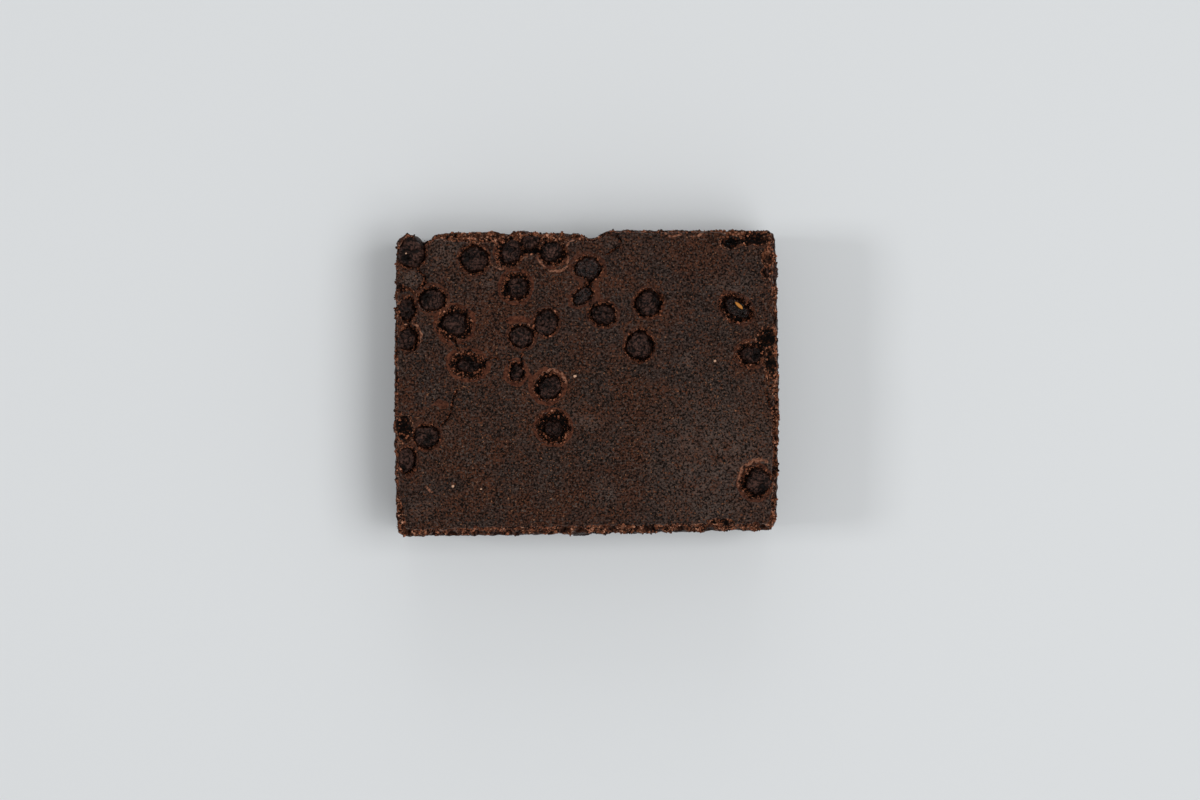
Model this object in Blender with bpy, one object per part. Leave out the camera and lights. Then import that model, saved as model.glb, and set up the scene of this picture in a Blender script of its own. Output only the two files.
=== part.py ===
"""A chocolate brownie: one knife-cut block of dense cake, with chocolate drops baked into its top.

Metres, +Z up. The origin is the centre of the base. X runs along the long side and -Y is the front.
The block is one solid. Each drop is a solid of its own and sits in a pit of the block, clear of its walls.
"""

import math
from collections import namedtuple

import bmesh
import bpy
from mathutils import Matrix, Vector, noise

MM = 0.001

# Driving sizes of the block.
WIDTH = 79.4 * MM
DEPTH = 62.9 * MM
HEIGHT = 25.0 * MM
CORNER_RADIUS = 2.0 * MM
RIM_RADIUS = 0.9 * MM
BASE_RADIUS = 0.4 * MM
CELL = 4.4 * MM
CORNER_SEGMENTS = 3
RIM_SEGMENTS = 2
BASE_SEGMENTS = 1
ON_PLANE = 1e-6

# How far the cut walls and the baked top depart from a true box.
SIDE_BOW = 0.5 * MM
WALL_BELLY = 0.35 * MM
FRONT_SLANT = 0.75 * MM
BACK_STEP = 0.5 * MM
BACK_STEP_X = 3.6 * MM
BACK_DIP = 0.7 * MM
BACK_DIP_X = 1.2 * MM
BACK_DIP_SPREAD = 1.9 * MM
TOP_WAVE = 0.28 * MM
TOP_WAVE_SIZE = 17.0 * MM
WALL_WAVE = 0.22 * MM
WALL_WAVE_SIZE = 6.0 * MM
TOP_SEED = 4.0
WALL_SEED = 11.0

# Bends reach the walls in full and fade inwards by this power of the way out from the middle.
WALL_FADE = 5

# The chocolate drops.
GAP = 0.50 * MM
DROP_FATNESS = 0.62
DROP_SQUARENESS = 0.86
DROP_LUMP = 0.05
PIT_SQUARENESS = 0.52
DROP_SEGMENTS = 10
DROP_RINGS = 6
PIT_SEGMENTS = 12
PIT_RINGS = 4
LUMPS_ACROSS = 1.8
HOLLOW_SQUARENESS = 0.8
HOLLOW_RAGGED = 0.12
HOLLOW_RINGS = 6
SEED_STEP = 1.37
WALL_DROP_SEED = 50.0
HOLLOW_SEED = 80.0

CRUMB_COLOUR = (0.040, 0.021, 0.015, 1.0)
CHOCOLATE_COLOUR = (0.020, 0.011, 0.010, 1.0)

# A drop in the top, in millimetres and degrees. place is its centre in plan and size its length and width.
# turn is the way its length points, sunk the depth of its top under the crust, and gap the space round it.
# shift moves its pit sideways. A drop with a knife side has lost what stood past the cut wall.
Drop = namedtuple("Drop", "name place size turn sunk gap shift knife", defaults=((0, 0), None))

DROPS = (
    Drop("chip_01", (-36.9, 27.3), (6.9, 6.3), 80, 0.15, 0.35, (0, 0), "left"),
    Drop("chip_02", (-23.5, 26.0), (6.4, 6.2), 20, 0.10, 0.40),
    Drop("chip_03", (-15.7, 27.7), (5.4, 4.4), 80, 0.35, 0.80, (-0.3, -0.1)),
    Drop("chip_04", (-7.4, 27.6), (5.0, 4.7), 0, 0.20, 0.70, (0.3, -0.3)),
    Drop("chip_05", (0.4, 24.1), (6.2, 4.9), -8, 0.45, 0.40),
    Drop("chip_06", (-14.7, 20.2), (5.1, 5.0), 0, 0.55, 0.85),
    Drop("chip_07", (-0.7, 18.3), (5.0, 2.9), 38, 0.70, 0.35),
    Drop("chip_08", (3.4, 14.4), (5.8, 4.7), -8, 0.55, 0.50, (0, 0.1)),
    Drop("chip_09", (-32.5, 17.4), (6.0, 5.0), 0, 0.20, 0.40, (0, 0.2)),
    Drop("chip_10", (-38.0, 15.4), (5.2, 4.2), 84, 0.80, 0.50, (0, 0), "left"),
    Drop("chip_11", (-38.3, 9.2), (5.4, 5.2), 90, 0.25, 0.60, (0.2, 0.1), "left"),
    Drop("chip_12", (-27.7, 12.2), (6.2, 5.7), 0, 0.60, 0.90),
    Drop("chip_13", (13.0, 16.7), (6.3, 5.9), 70, 0.20, 0.45),
    Drop("chip_14", (31.7, 15.7), (6.2, 4.0), -36, 0.80, 0.60),
    Drop("chip_15", (-8.45, 12.65), (5.7, 5.2), 80, 0.20, 0.35),
    Drop("chip_16", (-13.6, 9.75), (5.4, 4.9), -12, 0.25, 0.35),
    Drop("chip_17", (11.2, 7.8), (6.6, 6.1), 85, 0.20, 0.45),
    Drop("chip_18", (35.0, 5.8), (4.6, 3.8), 0, 0.75, 1.10, (-0.5, 0.2)),
    Drop("chip_19", (-24.7, 3.6), (5.2, 3.2), -8, 1.10, 1.40, (-0.2, 0.2)),
    Drop("chip_20", (-14.8, 2.2), (4.0, 3.3), 84, 0.50, 0.40),
    Drop("chip_21", (-7.7, -0.9), (6.0, 5.3), 45, 0.45, 0.45, (-0.2, 0.1)),
    Drop("chip_22", (-6.9, -9.8), (4.2, 3.9), 0, 1.30, 1.55, (0, 0.4)),
    Drop("chip_23", (-33.7, -11.3), (6.0, 5.4), -12, 0.30, 0.35),
    Drop("chip_24", (-38.2, -16.3), (6.4, 4.4), 88, 0.40, 0.40, (0.2, -0.1), "left"),
    Drop("chip_25", (35.9, -21.3), (6.1, 5.8), 0, 0.30, 0.55, (-0.1, 0.15)),
)

# A drop in a cut wall, in millimetres. place is its centre, with z measured down from the crust.
# One with a knife side is cut flush with that wall, and one without stands a little proud of its wall.
WallDrop = namedtuple("WallDrop", "name place size knife", defaults=(None,))

WALL_DROPS = (
    WallDrop("chip_back", (-11.7, 29.9, -3.1), (3.4, 3.6, 3.0), "back"),
    WallDrop("chip_right", (38.0, 24.0, -4.2), (4.4, 5.0, 4.4), "right"),
    WallDrop("chip_front", (-0.8, -29.6, -9.5), (7.4, 4.4, 5.2)),
)

# A place where cake has crumbled away, in millimetres. Its centre has z measured up from the crust.
Hollow = namedtuple("Hollow", "name centre radii")

HOLLOWS = (
    Hollow("back_left_notch", (-34.6, 32.0, -1.5), (1.7, 2.3, 6.5)),
    Hollow("back_left_shoulder", (-24.6, 32.2, 0.7), (7.2, 2.0, 1.7)),
    Hollow("back_pocket", (-11.6, 27.9, -0.4), (2.7, 1.5, 2.9)),
    Hollow("back_right_pocket", (30.9, 29.9, 0.2), (2.0, 1.4, 2.3)),
    Hollow("back_right_ledge", (35.6, 31.5, 0.7), (4.4, 1.9, 1.9)),
    Hollow("right_ledge", (39.5, 26.6, 0.7), (1.9, 4.6, 2.2)),
    Hollow("right_pocket", (37.7, 9.7, 0.2), (1.8, 1.9, 2.2)),
    Hollow("left_pocket", (-38.3, -9.6, 0.1), (1.7, 3.0, 2.3)),
)

# The knife's planes, a little inside the walls: where each faces, and how far from the middle it passes.
KNIFE_PLANES = {
    "left": (Vector((-1, 0, 0)), 39.35 * MM),
    "right": (Vector((1, 0, 0)), 39.40 * MM),
    "back": (Vector((0, 1, 0)), 30.35 * MM),
}


def clear_scene():
    for old in list(bpy.data.objects):
        bpy.data.objects.remove(old, do_unlink=True)


def new_collection(name):
    made = bpy.data.collections.new(name)
    bpy.context.scene.collection.children.link(made)
    return made


def principled(name, colour, roughness):
    """A plain Principled material."""
    material = bpy.data.materials.new(name)
    material.use_nodes = True
    shader = material.node_tree.nodes["Principled BSDF"]
    shader.inputs["Base Color"].default_value = colour
    shader.inputs["Roughness"].default_value = roughness
    shader.inputs["Metallic"].default_value = 0.0
    return material


def object_from(bm, name, collection, material=None):
    mesh = bpy.data.meshes.new(name)
    bmesh.ops.recalc_face_normals(bm, faces=bm.faces)
    bm.to_mesh(mesh)
    bm.free()
    mesh.shade_smooth()
    mesh.set_sharp_from_angle(angle=math.radians(50))
    if material:
        mesh.materials.append(material)
    made = bpy.data.objects.new(name, mesh)
    collection.objects.link(made)
    return made


def upright_edges(bm):
    return [e for e in bm.edges if abs(e.verts[1].co.z - e.verts[0].co.z) > ON_PLANE]


def rounded_block():
    """A box with rounded corners and rims, cut into cells of about CELL so that it can bend."""
    bm = bmesh.new()
    bmesh.ops.create_cube(bm, size=1.0)
    bmesh.ops.scale(bm, vec=(WIDTH, DEPTH, HEIGHT), verts=bm.verts)
    bmesh.ops.translate(bm, vec=(0, 0, HEIGHT / 2), verts=bm.verts)
    bmesh.ops.bevel(
        bm,
        geom=upright_edges(bm),
        offset=CORNER_RADIUS,
        segments=CORNER_SEGMENTS,
        profile=0.5,
        affect="EDGES",
    )
    top, base = (HEIGHT, RIM_RADIUS, RIM_SEGMENTS), (0.0, BASE_RADIUS, BASE_SEGMENTS)
    for level, radius, segments in (top, base):
        rim = [e for e in bm.edges if all(abs(v.co.z - level) < ON_PLANE for v in e.verts)]
        bmesh.ops.bevel(bm, geom=rim, offset=radius, segments=segments, profile=0.5, affect="EDGES")
    for axis, size in enumerate((WIDTH, DEPTH, HEIGHT)):
        count = round(size / CELL)
        low = 0.0 if axis == 2 else -size / 2
        normal = Vector([float(i == axis) for i in range(3)])
        for step in range(1, count):
            bmesh.ops.bisect_plane(
                bm,
                geom=bm.verts[:] + bm.edges[:] + bm.faces[:],
                plane_co=normal * (low + size * step / count),
                plane_no=normal,
            )
    return bm


def smooth_noise(point, size, seed):
    return noise.noise(point / size + Vector((seed, 2.7 * seed, -seed)))


def back_wall_offset(x):
    """The back wall stands further in to the left of a step, and dips beside it."""
    step = BACK_STEP * math.tanh((x - BACK_STEP_X) / MM)
    dip = BACK_DIP * math.exp(-(((x - BACK_DIP_X) / BACK_DIP_SPREAD) ** 2))
    return step - dip


def top_height(x, y):
    """Height of the baked top, which rises and falls gently."""
    return HEIGHT + TOP_WAVE * smooth_noise(Vector((x, y, 0)), TOP_WAVE_SIZE, TOP_SEED)


def bent(point):
    """Where a point of the true box lies on the real block."""
    x, y, z = point
    u, v, w = 2 * x / WIDTH, 2 * y / DEPTH, z / HEIGHT
    belly = WALL_BELLY * math.sin(math.pi * w)
    wave = WALL_WAVE * smooth_noise(point, WALL_WAVE_SIZE, WALL_SEED)
    out_x = SIDE_BOW * (1 - v * v) + belly + wave
    out_y = belly + wave
    front = FRONT_SLANT * u * (1 - v) / 2
    back = back_wall_offset(x) * (1 + v) / 2
    rise = (top_height(x, y) - HEIGHT) * w
    bent_x = x + u**WALL_FADE * out_x
    bent_y = y + v**WALL_FADE * out_y + front + back
    return Vector((bent_x, bent_y, z + rise))


def brownie_block(collection, material):
    bm = rounded_block()
    for vert in bm.verts:
        vert.co = bent(vert.co)
    base = [f for f in bm.faces if all(abs(v.co.z) < ON_PLANE for v in f.verts)]
    bmesh.ops.dissolve_faces(bm, faces=base)
    return object_from(bm, "brownie", collection, material)


def lumpy_form(radii, squareness, lump, segments, rings, seed):
    """A ball drawn out to three radii. A squareness under 1 fills out its shoulders, and lump roughens it."""
    bm = bmesh.new()
    bmesh.ops.create_uvsphere(bm, u_segments=segments, v_segments=rings, radius=1.0)
    for vert in bm.verts:
        x, y, z = vert.co
        across = math.hypot(x, y)
        spread = across**squareness / across if across > ON_PLANE else 0.0
        swell = 1 + lump * noise.noise(vert.co * LUMPS_ACROSS + Vector((seed, -seed, 3 * seed)))
        full = Vector((x * spread, y * spread, math.copysign(abs(z) ** squareness, z)))
        vert.co = Vector(c * r for c, r in zip(full, radii)) * swell
    return bm


def knife_cut(bm, side):
    """Removes what lies past a knife plane, and closes the cut with a flat face."""
    facing, distance = KNIFE_PLANES[side]
    cut = bmesh.ops.bisect_plane(
        bm,
        geom=bm.verts[:] + bm.edges[:] + bm.faces[:],
        plane_co=facing * distance,
        plane_no=facing,
        clear_outer=True,
    )
    rim = [e for e in cut["geom_cut"] if isinstance(e, bmesh.types.BMEdge)]
    if rim:
        bmesh.ops.contextual_create(bm, geom=rim)


def as_cutter(bm, name, collection):
    cutter = object_from(bm, name, collection)
    cutter.hide_render = True
    cutter.display_type = "WIRE"
    return cutter


def top_drop(drop, seed, parts, cutters, chocolate):
    """One drop that sank into the top as it baked, and the pit that it sits in."""
    place = Vector((*drop.place, 0)) * MM
    crust = top_height(place.x, place.y)
    length, width = (s * MM for s in drop.size)
    thickness = DROP_FATNESS * math.sqrt(length * width)
    top = crust - drop.sunk * MM
    turn = Matrix.Rotation(math.radians(drop.turn), 4, "Z")

    radii = (length / 2, width / 2, thickness / 2)
    bm = lumpy_form(radii, DROP_SQUARENESS, DROP_LUMP, DROP_SEGMENTS, DROP_RINGS, seed)
    centre = Vector((place.x, place.y, top - thickness / 2))
    bm.transform(Matrix.Translation(centre) @ turn)
    if drop.knife:
        knife_cut(bm, drop.knife)
    object_from(bm, drop.name, parts, chocolate)

    room = max(drop.gap * MM, GAP)
    depth = drop.sunk * MM + thickness + GAP
    radii = (length / 2 + room, width / 2 + room, depth)
    bm = lumpy_form(radii, PIT_SQUARENESS, DROP_LUMP, PIT_SEGMENTS, 2 * PIT_RINGS, seed)
    shift = Vector((*drop.shift, 0)) * MM
    bm.transform(Matrix.Translation(Vector((place.x, place.y, crust)) + shift) @ turn)
    as_cutter(bm, "pit_" + drop.name, cutters)


def wall_drop(drop, seed, parts, cutters, chocolate):
    """One drop that shows in a cut wall, and its pit."""
    centre = Vector(drop.place) * MM + Vector((0, 0, HEIGHT))
    radii = [s * MM / 2 for s in drop.size]
    bm = lumpy_form(radii, DROP_SQUARENESS, DROP_LUMP, DROP_SEGMENTS, DROP_RINGS, seed)
    bm.transform(Matrix.Translation(centre))
    if drop.knife:
        knife_cut(bm, drop.knife)
    object_from(bm, drop.name, parts, chocolate)

    room = [r + GAP + DROP_LUMP * r for r in radii]
    bm = lumpy_form(room, DROP_SQUARENESS, DROP_LUMP, PIT_SEGMENTS, HOLLOW_RINGS, seed)
    bm.transform(Matrix.Translation(centre))
    as_cutter(bm, "pit_" + drop.name, cutters)


def hollow_cutter(hollow, seed, cutters):
    centre = Vector(hollow.centre) * MM + Vector((0, 0, HEIGHT))
    radii = [r * MM for r in hollow.radii]
    bm = lumpy_form(radii, HOLLOW_SQUARENESS, HOLLOW_RAGGED, PIT_SEGMENTS, HOLLOW_RINGS, seed)
    bm.transform(Matrix.Translation(centre))
    as_cutter(bm, "hollow_" + hollow.name, cutters)


def carve(block, cutters):
    modifier = block.modifiers.new("pits_and_hollows", "BOOLEAN")
    modifier.operation = "DIFFERENCE"
    modifier.solver = "EXACT"
    modifier.operand_type = "COLLECTION"
    modifier.collection = cutters


def centre_on_base(block, parts, cutters):
    """Moves everything so that the block's box is centred over the origin, on the floor."""
    corners = [v.co for v in block.data.vertices]
    low = Vector(min(c[i] for c in corners) for i in range(3))
    high = Vector(max(c[i] for c in corners) for i in range(3))
    shift = Vector((-(low.x + high.x) / 2, -(low.y + high.y) / 2, -low.z))
    for made in list(parts.objects) + list(cutters.objects):
        made.data.transform(Matrix.Translation(shift))


clear_scene()
parts_collection = new_collection("chocolate_brownie")
cutter_collection = new_collection("cutters")
crumb = principled("brownie_crumb", CRUMB_COLOUR, 0.75)
chocolate = principled("chocolate", CHOCOLATE_COLOUR, 0.5)

brownie = brownie_block(parts_collection, crumb)
for number, item in enumerate(DROPS):
    top_drop(item, SEED_STEP * number, parts_collection, cutter_collection, chocolate)
for number, item in enumerate(WALL_DROPS):
    seed = WALL_DROP_SEED + SEED_STEP * number
    wall_drop(item, seed, parts_collection, cutter_collection, chocolate)
for number, item in enumerate(HOLLOWS):
    hollow_cutter(item, HOLLOW_SEED + SEED_STEP * number, cutter_collection)
carve(brownie, cutter_collection)
centre_on_base(brownie, parts_collection, cutter_collection)
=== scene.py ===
"""A chocolate brownie: a block of dense cake with a baked crust, cut sides and chocolate drops.

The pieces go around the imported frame, in metres, +Z up, with the origin at the centre of the base.
The cake's own surface is worked out in millimetres.
"""

import itertools
import math
from collections import namedtuple

import bmesh
import bpy
import numpy as np
import openvdb
from mathutils import Matrix, Vector, noise


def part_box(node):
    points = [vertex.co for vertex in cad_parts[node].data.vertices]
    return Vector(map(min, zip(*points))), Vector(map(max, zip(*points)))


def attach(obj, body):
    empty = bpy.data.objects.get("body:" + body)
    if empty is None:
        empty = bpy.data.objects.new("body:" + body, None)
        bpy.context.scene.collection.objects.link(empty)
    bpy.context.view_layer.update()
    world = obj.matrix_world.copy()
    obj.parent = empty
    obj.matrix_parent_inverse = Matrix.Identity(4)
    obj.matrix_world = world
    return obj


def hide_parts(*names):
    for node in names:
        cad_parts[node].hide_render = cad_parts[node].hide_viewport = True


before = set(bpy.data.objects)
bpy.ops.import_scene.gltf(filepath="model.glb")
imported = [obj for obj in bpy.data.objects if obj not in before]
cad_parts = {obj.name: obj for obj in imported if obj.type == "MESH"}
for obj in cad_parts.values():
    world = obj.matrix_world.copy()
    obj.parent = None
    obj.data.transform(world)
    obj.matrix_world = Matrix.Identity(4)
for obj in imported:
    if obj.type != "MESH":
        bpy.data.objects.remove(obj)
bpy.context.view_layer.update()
MM = 0.001

# ---- The cake: its outline and its top ------------------------------------------------------------
# Brownie batter is poured into a tray, baked in one sheet and cut into blocks with a knife.
# The walls bow out a little, and the top keeps the gentle waves of the batter.

WIDTH, DEPTH, HEIGHT = 79.4, 62.9, 25.0
CENTRING = np.array((0.05, 0.125))
CORNER_RADIUS = 2.0
SIDE_BOW = 0.5
WALL_BELLY = 0.35
WALL_FADE = 5
FRONT_SLANT = 0.75
BACK_STEP, BACK_STEP_X = 0.5, 3.6
BACK_DIP, BACK_DIP_X, BACK_DIP_SPREAD = 0.7, 1.2, 1.9
BACK_NOTCH, BACK_NOTCH_X, BACK_NOTCH_SPREAD = 1.5, -34.0, 1.7
TOP_WAVE, TOP_WAVE_SIZE, TOP_SEED = 0.28, 17.0, 4.0

MAP_STEP = 0.14
MAP_MARGIN = 2.0

random = np.random.default_rng(5)
SHUFFLED = random.permutation(256)
SLOPES = random.normal(size=(256, 3)).astype(np.float32)
SLOPES /= np.linalg.norm(SLOPES, axis=1, keepdims=True)


def lumps(points, size, seed=0.0):
    """Smooth noise, from about -1 to 1, at an array of points. Its lumps are about size across."""
    place = points.astype(np.float32) / np.float32(size) + np.float32(7.31 * seed)
    cell = np.floor(place).astype(np.int32)
    inside = place - cell
    ease = inside**3 * (inside * (inside * 6 - 15) + 10)
    total = np.zeros(len(points), np.float32)
    for corner in itertools.product((0, 1), repeat=3):
        x, y, z = (cell[:, axis] + corner[axis] for axis in range(3))
        slope = SLOPES[SHUFFLED[(SHUFFLED[(SHUFFLED[x & 255] + y) & 255] + z) & 255]]
        reach = inside - np.array(corner, np.float32)
        weight = np.ones(len(points), np.float32)
        for axis in range(3):
            weight *= ease[:, axis] if corner[axis] else 1 - ease[:, axis]
        total += weight * np.einsum("ij,ij->i", slope, reach)
    return total * 1.7


def smooth_step(low, high, value):
    share = np.clip((value - low) / (high - low), 0, 1)
    return share * share * (3 - 2 * share)


map_x = np.arange(-WIDTH / 2 - MAP_MARGIN, WIDTH / 2 + MAP_MARGIN, MAP_STEP)
map_y = np.arange(-DEPTH / 2 - MAP_MARGIN, DEPTH / 2 + MAP_MARGIN, MAP_STEP)
X, Y = np.meshgrid(map_x, map_y, indexing="ij")
PLAN = np.stack([X.ravel(), Y.ravel(), np.zeros(X.size)], axis=1)


def plan_lumps(size, seed):
    return lumps(PLAN, size, seed).reshape(X.shape)


def wall_map():
    """How far each place in plan lies inside the cut walls."""
    x, y = X - CENTRING[0], Y - CENTRING[1]
    u, v = np.clip(2 * x / WIDTH, -1.06, 1.06), np.clip(2 * y / DEPTH, -1.06, 1.06)
    bow = SIDE_BOW * (1 - v * v) * u**WALL_FADE
    front = FRONT_SLANT * u * (1 - v) / 2
    step = BACK_STEP * np.tanh(x - BACK_STEP_X)
    dip = BACK_DIP * np.exp(-(((x - BACK_DIP_X) / BACK_DIP_SPREAD) ** 2))
    notch = BACK_NOTCH * np.exp(-(((x - BACK_NOTCH_X) / BACK_NOTCH_SPREAD) ** 4))
    back = (step - dip - notch) * (1 + v) / 2
    past_x = np.abs(x - bow) - (WIDTH / 2 - CORNER_RADIUS)
    past_y = np.abs(y - front - back) - (DEPTH / 2 - CORNER_RADIUS)
    corner = np.hypot(np.maximum(past_x, 0), np.maximum(past_y, 0))
    return CORNER_RADIUS - corner - np.minimum(np.maximum(past_x, past_y), 0)


def top_map():
    """Height of the baked top, waves and all."""
    step = 2.0
    coarse_x = np.arange(map_x[0], map_x[-1] + 2 * step, step)
    coarse_y = np.arange(map_y[0], map_y[-1] + 2 * step, step)
    seed = Vector((TOP_SEED, 2.7 * TOP_SEED, -TOP_SEED))
    height = np.array(
        [
            [noise.noise(Vector((x - CENTRING[0], y - CENTRING[1], 0)) / TOP_WAVE_SIZE + seed) for y in coarse_y]
            for x in coarse_x
        ]
    )
    along = np.array([np.interp(map_y, coarse_y, row) for row in height])
    wave = np.array([np.interp(map_x, coarse_x, column) for column in along.T]).T
    return HEIGHT + TOP_WAVE * wave


wall = wall_map()
top = top_map()

# ---- The cake: pits, cracks and broken edges of the crust -----------------------------------------
# The crust dries into a thin skin that shrinks back from each drop and sinks towards it, so a dark
# gap and a smooth browner band ring the drop. The knife tears the skin back along the edges.

# gap is the space round a drop, shift moves the pit sideways, and depth is how far down the torn ledge
# in the gap lies. band is the width of the browned ring, and browned how strongly it shows, from 0 to 1.
Pit = namedtuple("Pit", "gap shift band browned depth", defaults=((0, 0), 0.5, 0.4, 1.5))

PITS = {
    "chip_01": Pit(0.25, (0, 0), 0.35, 0.3),
    "chip_02": Pit(0.28, (0, 0), 0.35, 0.45),
    "chip_03": Pit(0.85, (-0.45, -0.15), 0.45, 0.7, 1.1),
    "chip_04": Pit(0.65, (0.35, -0.4), 0.45, 0.95, 1.2),
    "chip_05": Pit(0.35, (0, 0), 0.7, 0.55, 1.6),
    "chip_06": Pit(0.75, (-0.05, 0), 0.65, 1.0, 1.3),
    "chip_07": Pit(0.35, (0, 0), 0.7, 0.7, 1.6),
    "chip_08": Pit(0.42, (0.1, 0.1), 0.5, 0.6, 1.5),
    "chip_09": Pit(0.32, (0, 0.15), 0.6, 0.65),
    "chip_10": Pit(0.35, (0.1, 0), 0.4, 0.4),
    "chip_11": Pit(0.40, (0.35, 0.15), 0.4, 0.5),
    "chip_12": Pit(0.85, (0.1, 0.1), 0.75, 1.0, 1.3),
    "chip_13": Pit(0.33, (0, 0), 0.35, 0.45),
    "chip_14": Pit(0.95, (-0.2, -0.1), 0.45, 0.6, 1.8),
    "chip_15": Pit(0.32, (0, 0), 0.4, 0.5),
    "chip_16": Pit(0.32, (0, 0.1), 0.5, 0.6),
    "chip_17": Pit(0.36, (0, 0), 0.35, 0.45),
    "chip_18": Pit(0.95, (-0.5, 0.2), 0.5, 0.6, 1.3),
    "chip_19": Pit(1.40, (-0.2, 0.2), 0.75, 1.0, 1.4),
    "chip_20": Pit(0.35, (0.1, 0), 0.7, 0.95),
    "chip_21": Pit(0.40, (-0.2, 0.1), 0.8, 0.95, 1.5),
    "chip_22": Pit(1.75, (0.1, 0.35), 0.5, 1.0, 1.7),
    "chip_23": Pit(0.28, (0, 0), 0.4, 0.5),
    "chip_24": Pit(0.30, (0.2, 0), 0.4, 0.4),
    "chip_25": Pit(0.55, (-0.3, 0.35), 0.6, 0.8, 1.4),
}
PIT_WALL = 0.3
RAGGED = 0.5

# Small holes in the skin: centre, radii and depth.
HOLES = (
    ((0.6, 20.4), (0.9, 1.7), 1.5),
    ((27.0, -29.3), (0.6, 0.5), 1.0),
    ((29.8, -29.9), (0.8, 0.4), 0.9),
    ((38.8, -1.2), (0.5, 0.8), 0.9),
    ((39.3, -5.5), (0.45, 1.0), 0.9),
)

# Places where cake has crumbled away: centre, with z measured up from the crust, and radii.
CRUMBLED = (
    ((-34.6, 31.9, -1.5), (1.7, 2.5, 6.5)),
    ((-11.4, 28.1, -0.8), (2.4, 1.1, 3.2)),
    ((-11.8, 29.9, -0.3), (2.4, 1.5, 2.0)),
    ((30.4, 29.7, -0.4), (2.3, 1.5, 2.8)),
    ((35.0, 30.4, -0.3), (4.2, 1.5, 1.6)),
    ((38.2, 26.6, 0.1), (1.4, 1.9, 1.5)),
    ((37.9, 23.4, -0.3), (1.0, 1.2, 2.4)),
    ((37.9, 9.4, -0.1), (2.2, 2.6, 2.4)),
    ((38.7, 4.4, 0.2), (1.5, 3.6, 1.7)),
    ((28.3, -29.2, 0.0), (2.7, 0.8, 1.2)),
    ((-38.2, -9.4, -0.1), (1.9, 3.4, 2.0)),
    ((-38.9, 19.9, 0.0), (1.4, 0.8, 1.6)),
    ((-37.9, 13.0, 0.0), (1.1, 0.8, 1.8)),
)

# Cracks in the skin: where each runs, and its width.
CRACKS = (
    (((-35.3, 23.8), (-34.0, 22.5), (-33.9, 21.1), (-35.3, 19.8)), 0.55),
    (((-38.9, 20.6), (-37.4, 20.0), (-36.1, 19.0)), 0.55),
    (((-27.8, 9.0), (-27.2, 8.0), (-26.8, 6.9)), 0.5),
    (((-26.0, 8.6), (-25.2, 8.0)), 0.45),
    (((-21.2, 4.8), (-19.6, 5.4), (-18.4, 5.2)), 0.42),
    (((-16.3, 4.9), (-15.6, 3.7)), 0.5),
    (((-27.2, -1.4), (-28.0, -3.5), (-28.3, -5.6), (-29.2, -7.6), (-30.6, -8.9)), 0.48),
    (((4.4, 27.2), (5.6, 27.9), (6.7, 28.6)), 0.5),
    (((6.6, 31.0), (7.3, 29.9)), 0.5),
    (((-13.6, 6.2), (-13.4, 3.4)), 0.55),
    (((37.9, -2.0), (38.6, -5.0)), 0.45),
)

# Thin raised edges of the skin, lighter where sugar has dried on them: where each runs, width and rise.
RAISED_EDGES = (
    (((-10.2, 26.4), (-9.1, 24.8), (-7.5, 23.7), (-5.3, 23.5), (-4.0, 24.5), (-3.7, 26.4)), 0.5, 0.3),
    (((-3.7, 26.4), (-4.3, 28.3), (-3.5, 29.7), (-2.4, 30.4)), 0.4, 0.25),
    (((-19.4, 24.5), (-17.7, 24.0), (-15.6, 24.8), (-14.0, 26.1), (-12.1, 26.7), (-10.4, 27.2)), 0.3, 0.2),
    (((-39.5, 30.4), (-39.6, 27.2), (-39.5, 24.4)), 0.4, 0.1),
    (((-39.5, 6.3), (-39.7, 0.0), (-39.6, -5.6)), 0.3, 0.1),
    (((-39.6, -20.0), (-39.4, -24.6), (-39.2, -29.5)), 0.3, 0.1),
    (((36.9, 22.6), (38.5, 22.2), (39.1, 21.0), (39.3, 17.7), (39.6, 15.0)), 0.35, 0.15),
    (((16.8, 31.5), (18.1, 30.7), (19.8, 31.4), (21.9, 30.8), (23.3, 30.8), (24.6, 31.5)), 0.45, 0.15),
    (((32.1, -21.6), (32.3, -19.3), (33.3, -17.4), (34.9, -16.4), (37.0, -16.0), (38.2, -16.6)), 0.8, 0.35),
    (((-8.9, 2.1), (-6.8, 2.9), (-5.0, 1.8), (-4.3, 0.3)), 0.7, 0.1),
    (((-37.8, 13.2), (-35.6, 12.2), (-34.5, 10.4), (-35.0, 8.6)), 0.55, 0.25),
    (((-34.9, -20.5), (-33.4, -21.9), (-32.1, -23.0)), 0.35, 0.12),
    (((37.2, 21.7), (37.9, 21.3), (37.8, 20.7), (37.1, 20.9), (37.2, 21.7)), 0.25, 0.2),
)

# Patches where the skin is browner, and patches where it is smooth and painted grey as a painted sheen: centre, radii,
# strength.
BROWNED = (
    ((-14.1, 13.3), (2.5, 0.9), 1.0),
    ((2.4, 19.0), (0.7, 1.8), 0.7),
    ((-11.6, -0.6), (0.5, 2.6), 0.9),
    ((-30.6, -4.4), (1.9, 0.8), 0.7),
)
PAINTED_SHEEN = (
    ((-29.8, 27.5), (2.4, 3.2), 0.9),
    ((-36.8, 21.8), (2.2, 1.8), 0.9),
    ((-20.6, 21.5), (2.5, 1.5), 0.5),
    ((31.0, 20.5), (4.5, 2.5), 0.7),
    ((21.0, 4.5), (2.2, 1.8), 0.7),
    ((-31.4, 29.6), (1.2, 1.4), 0.9),
    ((-29.5, -10.0), (2.6, 1.6), 0.5),
    ((-34.5, -27.0), (3.0, 2.6), 0.5),
    ((-3.6, -6.2), (1.8, 1.6), 0.6),
    ((0.4, -8.3), (2.8, 1.5), 1.0),
    ((4.3, -22.8), (1.8, 2.6), 1.1),
    ((5.3, 29.2), (1.6, 1.3), 0.6),
    ((28.0, -17.0), (13.5, 15.0), 0.75),
)

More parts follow.
